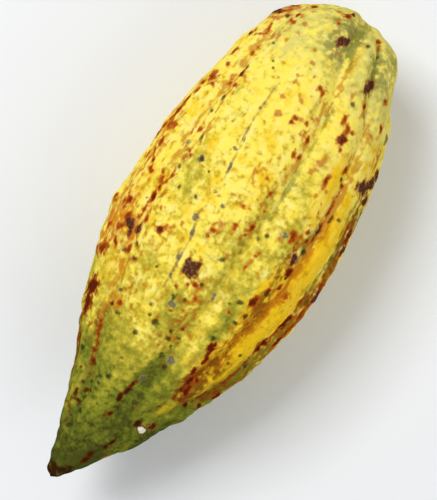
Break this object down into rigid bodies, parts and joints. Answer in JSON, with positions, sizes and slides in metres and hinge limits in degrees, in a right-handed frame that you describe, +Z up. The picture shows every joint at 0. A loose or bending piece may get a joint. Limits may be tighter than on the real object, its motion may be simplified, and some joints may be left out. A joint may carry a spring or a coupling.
{
  "type": "cacao pod",
  "caption": "Ripe cacao pod lying on its side: a ridged, warty fruit with a bent pointed tip and a stalk scar.",
  "frame": {"origin": "middle of the small flat spot that the pod rests on, under its widest part", "axes": "+X along the pod from the stalk end to the tip, +Z up, +Y across; the tip bends towards -Y"},
  "size_m": [0.2082, 0.0852, 0.0839],
  "materials": {
    "pod_skin": "satin"
  },
  "bodies": {
    "root": {"cacao_pod": "pod_skin"}
  },
  "joints": []
}
